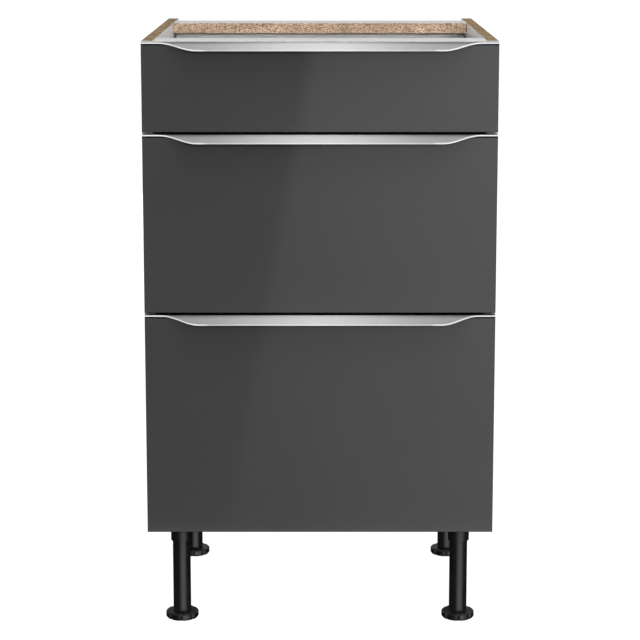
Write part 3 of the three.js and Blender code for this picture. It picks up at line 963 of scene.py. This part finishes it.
# %% [markdown]
# The back is a thin sheet of hardboard, coated white on the side that looks into the
# cabinet. It could be a single plane, but a box keeps its real thickness and gives the two
# sides their own materials.

# %% Thin back: white inside, brown towards the wall
def build_back():
    low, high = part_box("back_panel")
    bm = bmesh.new()
    box_block(bm, low, high)
    for face in bm.faces:
        face.material_index = 0 if face.normal.y < -FACING else 1
    make_piece(bm, "back_sheet", "carcass", [melamine, hardboard], ["back_panel"])


build_back()

# %% [markdown]
# ## Legs
#
# A leg has three turned pieces: a socket with a screw plate under the bottom board, a tube,
# and a foot whose threaded stem turns in the tube. They are spun from short profiles. The
# corners of socket and tube are bevelled afterwards, so the profiles stay readable.

# %% Legs
TURN_STEPS = 72
TUBE_WALL = 2.5 * MM
TUBE_EDGE = 0.5 * MM
SOCKET_PLATE = 4.0 * MM
SOCKET_PLAY = 0.3 * MM
SOCKET_EDGE = 0.6 * MM
COLLAR_WALL = 2.4 * MM
CORNERS = [f"{place_y}_{side}" for place_y in ("front", "rear") for side, _ in SIDES]


def leg_axis(corner):
    """The leg's axis on the floor, and its tube's radius."""
    low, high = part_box(f"leg_tube_{corner}")
    return Vector(((low.x + high.x) / 2, (low.y + high.y) / 2, 0.0)), (high.x - low.x) / 2


def make_leg_piece(bm, name, body, node):
    make_piece(bm, name, body, [black_plastic], [node])


def build_leg_tube(corner):
    axis, radius = leg_axis(corner)
    node = f"leg_tube_{corner}"
    low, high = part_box(node)
    profile = [
        (radius - TUBE_WALL, low.z),
        (radius, low.z),
        (radius, high.z),
        (radius - TUBE_WALL, high.z),
        (radius - TUBE_WALL, low.z),
    ]
    bm = bmesh.new()
    spin_profile(bm, profile, axis, TURN_STEPS)
    round_edges(bm, sharp_edges(bm), TUBE_EDGE, 2)
    make_leg_piece(bm, f"leg_pipe_{corner}", "carcass", node)


def build_leg_socket(corner):
    axis, radius = leg_axis(corner)
    node = f"leg_socket_{corner}"
    low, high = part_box(node)
    plate_radius = (high.x - low.x) / 2
    plate_z = high.z - SOCKET_PLATE
    bore = radius + SOCKET_PLAY
    collar = radius + COLLAR_WALL
    profile = [
        (0.0, plate_z),
        (bore, plate_z),
        (bore, low.z),
        (collar, low.z),
        (collar, plate_z),
        (plate_radius, plate_z),
        (plate_radius, high.z),
        (0.0, high.z),
    ]
    bm = bmesh.new()
    spin_profile(bm, profile, axis, TURN_STEPS)
    round_edges(bm, sharp_edges(bm), SOCKET_EDGE)
    make_leg_piece(bm, f"leg_cup_{corner}", "carcass", node)


print("legs:", ", ".join(CORNERS))

# %% [markdown]
# A foot is turned by hand to level the cabinet, so its rim is notched for the fingers. The
# notches could be cut with cylinders, but pressing the rim in by a smooth formula leaves
# one clean mesh, and the thread on the stem comes from a formula too.

# %% Feet
FOOT_STEPS = 144
FOOT_DISC = 10.0 * MM
SOLE_INSET = 1.8 * MM
SOLE_RISE = 2.2 * MM
RIM_CUT = 1.6 * MM
FOOT_NOTCHES = 8
NOTCH_DEPTH = 1.6 * MM
NOTCH_BAND = 2.0 * MM
NOTCH_WIDTH = math.radians(10)
STEM_PLAY = 2.8 * MM
STEM_ROWS = 84
STEM_TOUCH = 0.1 * MM
THREAD_PITCH = 3.0 * MM
THREAD_DEPTH = 0.7 * MM
THREAD_MARGIN = 1.0 * MM


def notch_cut(angle):
    """How far a notch cuts in at an angle round the foot."""
    spacing = 2 * math.pi / FOOT_NOTCHES
    off_notch = abs((angle + spacing / 2) % spacing - spacing / 2)
    return NOTCH_DEPTH * max(0.0, 1.0 - (2 * off_notch / NOTCH_WIDTH) ** 2)


def thread_cut(angle, height):
    """How far the thread cuts in at an angle and a height on the stem."""
    turn = (height / THREAD_PITCH - angle / (2 * math.pi)) % 1.0
    return THREAD_DEPTH * abs(2 * turn - 1)


def build_leg_foot(corner):
    axis, radius = leg_axis(corner)
    node = f"leg_foot_{corner}"
    low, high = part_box(node)
    foot_radius = (high.x - low.x) / 2
    stem = radius - STEM_PLAY
    profile = [
        (0.0, low.z),
        (foot_radius - SOLE_INSET, low.z),
        (foot_radius, low.z + SOLE_RISE),
        (foot_radius, FOOT_DISC - RIM_CUT),
        (foot_radius - RIM_CUT, FOOT_DISC),
        (stem, FOOT_DISC),
    ]
    for step in range(STEM_ROWS + 1):
        profile.append((stem, FOOT_DISC + (high.z - FOOT_DISC) * step / STEM_ROWS))
    profile.append((0.0, high.z))
    bm = bmesh.new()
    spin_profile(bm, profile, axis, FOOT_STEPS)
    for vert in bm.verts:
        out = vert.co - axis
        angle = math.atan2(out.y, out.x)
        reach = math.hypot(out.x, out.y)
        threaded = FOOT_DISC + THREAD_MARGIN < vert.co.z < high.z - THREAD_MARGIN
        cut = 0.0
        if reach > foot_radius - NOTCH_BAND:
            cut = notch_cut(angle)
        elif threaded and reach > stem - STEM_TOUCH:
            cut = thread_cut(angle, vert.co.z)
        vert.co.x -= cut * math.cos(angle)
        vert.co.y -= cut * math.sin(angle)
    make_leg_piece(bm, f"leg_shoe_{corner}", f"foot_{corner}", node)


for corner in CORNERS:
    build_leg_tube(corner)
    build_leg_socket(corner)
    build_leg_foot(corner)

# %% [markdown]
# ## Steel drawer sides, brackets and runners
#
# These are folded from sheet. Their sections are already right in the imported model, so a
# copy of each node is cleaned: doubled corners are merged, flat faces are dissolved, and the
# folds are rounded, as bent sheet always is.

# %% Folded steel
FOLD_LIMIT = math.radians(60)
FOLDED = (
    # part of the node's name, part of the piece's name, body, slot, material, fold radius
    ("drawer_side", "steel_side", "{row}_drawer", "side_steel", powder_coat, 0.5 * MM),
    ("runner_rail", "fixed_rail", "carcass", "runner_zinc", zinc, 0.4 * MM),
    ("runner_slide", "moving_rail", "{row}_runner_slides", "runner_zinc", zinc, 0.4 * MM),
    ("drawer_bracket", "rod_bracket", "{row}_drawer", "side_steel", powder_coat, 0.4 * MM),
)


def soften(node, name, body, material, radius):
    bm = bmesh.new()
    bm.from_mesh(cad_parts[node].data)
    bmesh.ops.remove_doubles(bm, verts=bm.verts, dist=MERGE)
    bmesh.ops.dissolve_limit(bm, angle_limit=FLAT_TURN, verts=bm.verts, edges=bm.edges)
    for face in bm.faces:
        face.material_index = 0
    round_edges(bm, sharp_edges(bm, FOLD_LIMIT), radius, 2)
    make_piece(bm, name, body, [material], [node])


for row in ROWS:
    for side, _ in SIDES:
        for part, looks_like, body, slot, material, radius in FOLDED:
            node = f"{row}_{part}_{side}"
            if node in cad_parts:
                name = f"{row}_{looks_like}_{side}"
                soften(node, name, body.format(row=row), material, radius)

# %% [markdown]
# ## Gallery rods
#
# The two deep drawers have a rod above each side, from the front to the rear bracket. On
# the real drawer it keeps tall things from falling over the side. It is drawn steel, so a
# cylinder laid along the drawer's depth is enough; only its two ends are rounded.

# %% Gallery rods
ROD_STEPS = 32
ROD_EDGE = 0.6 * MM


def build_rod(row, side):
    node = f"{row}_drawer_rod_{side}"
    low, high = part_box(node)
    radius = (high.x - low.x) / 2
    bm = bmesh.new()
    made = bmesh.ops.create_cone(
        bm, cap_ends=True, segments=ROD_STEPS, radius1=radius, radius2=radius, depth=high.y - low.y
    )
    lay_down = Matrix.Rotation(math.pi / 2, 3, "X")
    bmesh.ops.rotate(bm, cent=ORIGIN, matrix=lay_down, verts=made["verts"])
    bmesh.ops.translate(bm, vec=(low + high) / 2, verts=made["verts"])
    round_edges(bm, sharp_edges(bm), ROD_EDGE, 2)
    make_piece(bm, f"{row}_gallery_{side}", f"{row}_drawer", [powder_coat], [node])


for row in ("middle", "lower"):
    for side, _ in SIDES:
        build_rod(row, side)

# %% [markdown]
# ## Fasteners and small fittings
#
# A flat-packed cabinet is held by cams and screws, and they show from below, from behind and
# in an open drawer. A screw head is a low spun dome; the ring of its recess is then pulled
# into a cross. All the heads of one row of holes are one piece, since they are fixed to the
# same part. They could be packed as parts too, but they carry nothing that the lesson needs.

# %% Screw heads
HEAD_STEPS = 32
CROSS_ARM = 0.62
CROSS_WIDTH = 0.12
CROSS_RING = (0.5, 0.7)
PLATE_HEAD = (4.0 * MM, 1.6 * MM)
RAIL_HEAD = (3.6 * MM, 1.5 * MM)
CAM_COVER = (7.4 * MM, 0.7 * MM)
CLIP_HEAD = (3.2 * MM, 1.4 * MM)


def add_head(bm, place, facing, radius, height):
    """A domed head with a cross recess, seated on place and facing along a unit vector."""
    before = set(bm.verts)
    profile = [
        (0.0, 0.25 * height),
        (CROSS_ARM * radius * 0.98, 0.3 * height),
        (CROSS_ARM * radius, 0.95 * height),
        (0.8 * radius, 0.85 * height),
        (radius, 0.4 * height),
        (radius, 0.0),
        (0.0, 0.0),
    ]
    spin_profile(bm, profile, Vector(ORIGIN), HEAD_STEPS)
    made = [v for v in bm.verts if v not in before]
    for vert in made:
        reach = math.hypot(vert.co.x, vert.co.y)
        if CROSS_RING[0] * radius < reach < CROSS_RING[1] * radius:
            turn = abs(math.remainder(math.atan2(vert.co.y, vert.co.x), math.pi / 2))
            cross = min(CROSS_ARM, CROSS_WIDTH / max(math.sin(turn), 1e-6))
            vert.co.x *= cross / CROSS_ARM
            vert.co.y *= cross / CROSS_ARM
    turn = Vector(UP).rotation_difference(Vector(facing)).to_matrix()
    bmesh.ops.rotate(bm, cent=ORIGIN, matrix=turn, verts=made)
    bmesh.ops.translate(bm, vec=place, verts=made)


def build_heads(name, heads, size):
    """One piece with a head at each (place, facing); size is (radius, height)."""
    bm = bmesh.new()
    for place, facing in heads:
        add_head(bm, Vector(place), facing, *size)
    make_piece(bm, name, "carcass", [zinc])


print("one head:", HEAD_STEPS, "steps round")

# %% [markdown]
# Four screws hold each leg's plate to the bottom board, and four hold each fixed rail to its
# side panel. The places are worked out from the boxes of plate and rail, so that the heads
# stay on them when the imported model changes.

# %% Screws of the leg plates and of the rails
FLANGE_INSET = 1.5 * MM
SCREW_DROP = 11.0 * MM
SCREW_SHARES = (0.07, 0.35, 0.66, 0.93)


def plate_heads():
    """Four screws through each leg's plate."""
    heads = []
    for corner in CORNERS:
        axis, radius = leg_axis(corner)
        low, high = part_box(f"leg_socket_{corner}")
        ring = (radius + COLLAR_WALL + (high.x - low.x) / 2) / 2
        for quarter in range(4):
            angle = math.radians(45 + 90 * quarter)
            x, y = axis.x + ring * math.cos(angle), axis.y + ring * math.sin(angle)
            heads.append(((x, y, high.z - SOCKET_PLATE), DOWN))
    return heads


def rail_heads(row):
    """Screws through the upright flange of each fixed rail."""
    heads = []
    for side, sign in SIDES:
        low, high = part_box(f"{row}_runner_rail_{side}")
        flange_x = sign * (max(abs(low.x), abs(high.x)) - FLANGE_INSET)
        for share in SCREW_SHARES:
            spot = (flange_x, low.y + share * (high.y - low.y), high.z - SCREW_DROP)
            heads.append((spot, (-sign, 0, 0)))
    return heads


build_heads("leg_plate_screws", plate_heads(), PLATE_HEAD)
for row in ROWS:
    build_heads(f"{row}_rail_screws", rail_heads(row), RAIL_HEAD)

# %% [markdown]
# The rails and the bottom board are drawn to the sides by cams, which are let into their
# undersides. A cover is a flat disc with a cross, so the same spun head serves at a larger
# size.

# %% Cam covers under the rails and the bottom board
CAM_INSET = 34.0 * MM
CAM_SHARES = {"front_rail": (0.5,), "rear_rail": (0.5,), "bottom_panel": (0.14, 0.42, 0.9)}


def cam_heads():
    heads = []
    for node, shares in CAM_SHARES.items():
        low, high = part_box(node)
        for share in shares:
            for _, sign in SIDES:
                spot = (sign * (high.x - CAM_INSET), low.y + share * (high.y - low.y), low.z)
                heads.append((spot, DOWN))
    return heads


build_heads("cam_covers", cam_heads(), CAM_COVER)

# %% [markdown]
# The thin back is loose in its grooves, so wedge clips behind it press it forwards. A clip
# is a block whose rear corner is pushed in to make the wedge, with one screw through it.

# %% Wedge clips behind the thin back
CLIP_SIZE = Vector((14.0, 9.0, 22.0)) * MM
CLIP_SHARES = (0.12, 0.38, 0.64, 0.9)
CLIP_EDGE = 0.8 * MM
WEDGE_SHARE = 0.6
SCREW_SHIFT = 1.5 * MM
SEAT_SHARE = 0.75


def build_clips():
    low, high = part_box("back_panel")
    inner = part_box("side_panel_right")[0].x
    half = CLIP_SIZE / 2
    bm = bmesh.new()
    heads = []
    for _, sign in SIDES:
        for share in CLIP_SHARES:
            z = low.z + share * (high.z - low.z)
            centre = Vector((sign * (inner - half.x), high.y + half.y, z))
            for vert in box_block(bm, centre - half, centre + half):
                if vert.co.y > centre.y and vert.co.x * sign < centre.x * sign:
                    vert.co.y -= WEDGE_SHARE * CLIP_SIZE.y
            seat = (centre.x + sign * SCREW_SHIFT, high.y + SEAT_SHARE * CLIP_SIZE.y, z)
            heads.append((seat, BACKWARDS))
    round_edges(bm, sharp_edges(bm), CLIP_EDGE, 2)
    make_piece(bm, "back_clips", "carcass", [black_plastic])
    build_heads("back_clip_screws", heads, CLIP_HEAD)


build_clips()

# %% [markdown]
# On the inner face of each steel side, near the front, a thin cap covers the screw that
# sets the height of the front. It is a flat plate with rounded edges.

# %% Cover caps inside the drawers
CAP_SIZE = Vector((1.2, 30.0, 13.0)) * MM
CAP_SETBACK = 26.0 * MM
CAP_DROP = 22.0 * MM
CAP_EDGE = 0.5 * MM


def build_caps(row):
    half = CAP_SIZE / 2
    wall_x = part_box(f"{row}_drawer_bottom")[1].x
    bm = bmesh.new()
    for side, sign in SIDES:
        low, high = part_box(f"{row}_drawer_side_{side}")
        centre = Vector((sign * (wall_x - half.x), low.y + CAP_SETBACK, high.z - CAP_DROP))
        box_block(bm, centre - half, centre + half)
    round_edges(bm, sharp_edges(bm), CAP_EDGE, 2)
    make_piece(bm, f"{row}_cover_caps", f"{row}_drawer", [powder_coat])


for row in ROWS:
    build_caps(row)

# %% [markdown]
# ## The studio
#
# The photograph is a plain product shot on white, and yet the shade under each lip is deep.
# A white floor would throw light up under the lips. So this floor glows white for the camera
# only; to the light it is a dark matt plane. It is clear from below, and reflections don't
# see it.

# %% Floor
FLOOR_HALF = 15.0
FLOOR_GLOW = 1.0


def mix_values(tree, factor, first, second):
    """Mix two numbers, each a value or a socket."""
    values = {"Factor": factor, 2: first, 3: second}
    return add_node(tree, "ShaderNodeMix", values, data_type="FLOAT").outputs[0]


def build_floor():
    material, tree, shader, place = open_material("pale_floor", Roughness=0.9, Specular_IOR_Level=0.1)
    drift = use_group(
        tree, tone_drift, place=place, scale=0.5, smooth=0.85, rough=0.95,
        tone=(0.14, 0.14, 0.14, 1.0), other_tone=(0.13, 0.13, 0.13, 1.0),
    )
    tree.links.new(drift["Color"], shader.inputs["Base Color"])
    shader.inputs["Emission Color"].default_value = WHITE
    seen = add_node(tree, "ShaderNodeLightPath").outputs["Is Camera Ray"]
    tree.links.new(reckon(tree, "MULTIPLY", seen, FLOOR_GLOW), shader.inputs["Emission Strength"])
    below = add_node(tree, "ShaderNodeNewGeometry").outputs["Backfacing"]
    clear = add_node(tree, "ShaderNodeBsdfTransparent").outputs["BSDF"]
    one_sided = add_node(tree, "ShaderNodeMixShader", {0: below, 1: shader.outputs["BSDF"], 2: clear})
    tree.links.new(one_sided.outputs["Shader"], tree.nodes["Material Output"].inputs["Surface"])
    bm = bmesh.new()
    bmesh.ops.create_grid(bm, x_segments=1, y_segments=1, size=FLOOR_HALF)
    floor = link_mesh(bm, "studio_floor", [material])
    floor.visible_glossy = False


build_floor()
print("floor laid")

# %% [markdown]
# The sky has three looks. The camera sees plain white. Matt surfaces get most of their light
# from the front half, and a little more from the right. Reflections see a grey sky, dark
# below the horizon, with a bright patch ahead.

# %% Sky
PATCH_SIDE = (0.325, -0.946, 0.0)
PATCH_GLOW = 1.75
MIRROR_BELOW, MIRROR_ABOVE = 0.01, 0.3
ZENITH_CHANGE = -0.03
SOFT_REAR, SOFT_FRONT = 0.16, 0.68
SOFT_LEFT, SOFT_RIGHT = 0.88, 1.12


def build_sky():
    world = bpy.data.worlds.new("studio_sky")
    bpy.context.scene.world = world
    world.use_nodes = True
    tree = world.node_tree
    direction = add_node(tree, "ShaderNodeTexCoord").outputs["Generated"]
    axes = split_axes(tree, direction)
    toward = add_node(
        tree, "ShaderNodeVectorMath", {0: direction, 1: PATCH_SIDE}, operation="DOT_PRODUCT"
    ).outputs["Value"]
    sides = slope(tree, axes["Z"], -0.15, 0.2, MIRROR_BELOW, MIRROR_ABOVE, "SMOOTHSTEP")
    ahead = slope(tree, toward, 0.64, 0.97, 0.0, PATCH_GLOW, "SMOOTHSTEP")
    higher = slope(tree, axes["Z"], 0.35, 0.8, 0.0, ZENITH_CHANGE, "SMOOTHSTEP")
    mirrored = reckon(tree, "ADD", reckon(tree, "ADD", sides, ahead), higher)
    from_front = slope(tree, axes["Y"], 0.15, -0.15, SOFT_REAR, SOFT_FRONT, "SMOOTHSTEP")
    from_right = slope(tree, axes["X"], -0.6, 0.6, SOFT_LEFT, SOFT_RIGHT, "SMOOTHSTEP")
    soft = reckon(tree, "MULTIPLY", from_front, from_right)
    rays = add_node(tree, "ShaderNodeLightPath").outputs
    lit = mix_values(tree, rays["Is Glossy Ray"], soft, mirrored)
    seen = mix_values(tree, rays["Is Camera Ray"], lit, 1.0)
    background = tree.nodes["Background"].inputs
    tree.links.new(seen, background["Strength"])
    background["Color"].default_value = WHITE


build_sky()
print("sky set")

# %% [markdown]
# One lamp stands far in front and high up, and draws the shadows of the lips on the fronts.
# Others light the top, the sides and the rear softly. A narrow strip above the open top
# lights the band under the rear rail, and a weak lamp on the floor lights the underside.
# The camera and reflections see none of them.

# %% Lamps
LAMPS = (
    # name, place, aim, (width, height), watts, spread
    ("overhead_softbox", (0.3, -1.0, 3.2), (0.0, -0.2, 0.6), (2.2, 1.3), 34.0, math.pi),
    ("front_softbox", (0.7, -5.6, 2.1), (0.0, -0.28, 0.5), (1.2, 0.9), 135.0, math.pi),
    ("left_softbox", (-4.0, 0.7, 0.55), (0.0, 0.7, 0.45), (1.4, 0.9), 75.0, math.pi),
    ("right_softbox", (4.0, 0.7, 0.55), (0.0, 0.7, 0.45), (1.4, 0.9), 75.0, math.pi),
    ("rear_softbox", (-0.8, 4.3, 0.7), (0.0, 0.3, 0.45), (1.6, 1.0), 75.0, math.pi),
    (
        "inside_strip",
        (-0.015, -0.14, 0.862),
        (-0.015, 0.24, 0.826),
        (0.47, 0.012),
        0.032,
        math.radians(16),
    ),
    ("underside_strip", (0.0, 0.03, 0.004), (0.0, 0.03, 1.0), (0.3, 0.4), 0.25, math.pi),
)


def add_lamp(name, place, aim, size, watts, spread):
    data = bpy.data.lights.new(name, "AREA")
    data.spread = spread
    data.shape = "RECTANGLE"
    data.size, data.size_y = size
    data.energy = watts
    lamp = bpy.data.objects.new(name, data)
    lamp.location = place
    lamp.rotation_euler = (Vector(aim) - Vector(place)).to_track_quat("-Z", "Y").to_euler()
    lamp.visible_camera = False
    lamp.visible_glossy = False
    bpy.context.scene.collection.objects.link(lamp)


for lamp_row in LAMPS:
    add_lamp(*lamp_row)
print("lamps placed:", len(LAMPS))

# %% [markdown]
# The gloss mirrors a large shape that is dark at the left and bright at the right of a
# slanted, soft edge. A panel half a metre in front of the fronts gives that. Only reflections
# see it, so it lights nothing and throws no shadow.

# %% Reflected panel
PANEL_DISTANCE = 0.49
PANEL_HALF = 2.5
PANEL_HEIGHT = 1.6
PANEL_FOOT = -0.006
EDGE_TOP = (-0.0206, 0.759)
EDGE_FOOT = (-0.1523, 0.0191)
EDGE_SOFTNESS = 0.012
DARK_REACH = 0.3
DARK_FAR, DARK_NEAR = 0.2, 0.3
BRIGHT_FROM, BRIGHT_TO = -0.15, 0.29
BRIGHT_LEFT, BRIGHT_RIGHT = 0.5, 1.05
RISE_HEIGHT = 0.76
RISE_FOOT, RISE_TOP = 0.85, 1.15


def build_panel():
    material = bpy.data.materials.new("panel_glow")
    material.use_nodes = True
    tree = material.node_tree
    tree.nodes.remove(tree.nodes["Principled BSDF"])
    place = add_node(tree, "ShaderNodeTexCoord").outputs["Object"]
    axes = split_axes(tree, place)
    slant = (EDGE_TOP[0] - EDGE_FOOT[0]) / (EDGE_TOP[1] - EDGE_FOOT[1])
    edge_x = EDGE_FOOT[0] - slant * EDGE_FOOT[1]
    past_edge = reckon(tree, "MULTIPLY_ADD", axes["Z"], -slant, axes["X"])
    soft_from, soft_to = edge_x - EDGE_SOFTNESS, edge_x + EDGE_SOFTNESS
    bright_side = slope(tree, past_edge, soft_from, soft_to, kind="SMOOTHSTEP")
    dark = slope(tree, past_edge, edge_x - DARK_REACH, edge_x, DARK_FAR, DARK_NEAR)
    bright = slope(tree, axes["X"], BRIGHT_FROM, BRIGHT_TO, BRIGHT_LEFT, BRIGHT_RIGHT)
    rise = slope(tree, axes["Z"], 0.0, RISE_HEIGHT, RISE_FOOT, RISE_TOP)
    glow = mix_values(tree, bright_side, dark, reckon(tree, "MULTIPLY", bright, rise))
    emission = add_node(tree, "ShaderNodeEmission", {"Strength": glow})
    tree.links.new(emission.outputs[0], tree.nodes["Material Output"].inputs["Surface"])
    bm = bmesh.new()
    bmesh.ops.create_grid(bm, x_segments=1, y_segments=1, size=1.0)
    for vert in bm.verts:
        upright = PANEL_HEIGHT if vert.co.y > 0 else PANEL_FOOT
        vert.co = (PANEL_HALF * vert.co.x, face_y - PANEL_DISTANCE, upright)
    panel = link_mesh(bm, "reflected_panel", [material])
    for ray in ("camera", "diffuse", "transmission", "volume_scatter", "shadow"):
        setattr(panel, f"visible_{ray}", False)


build_panel()
print("panel placed")

# %% Picture settings
scene = bpy.context.scene
scene.view_settings.view_transform = "Standard"
scene.cycles.use_denoising = True
print("view:", scene.view_settings.view_transform)
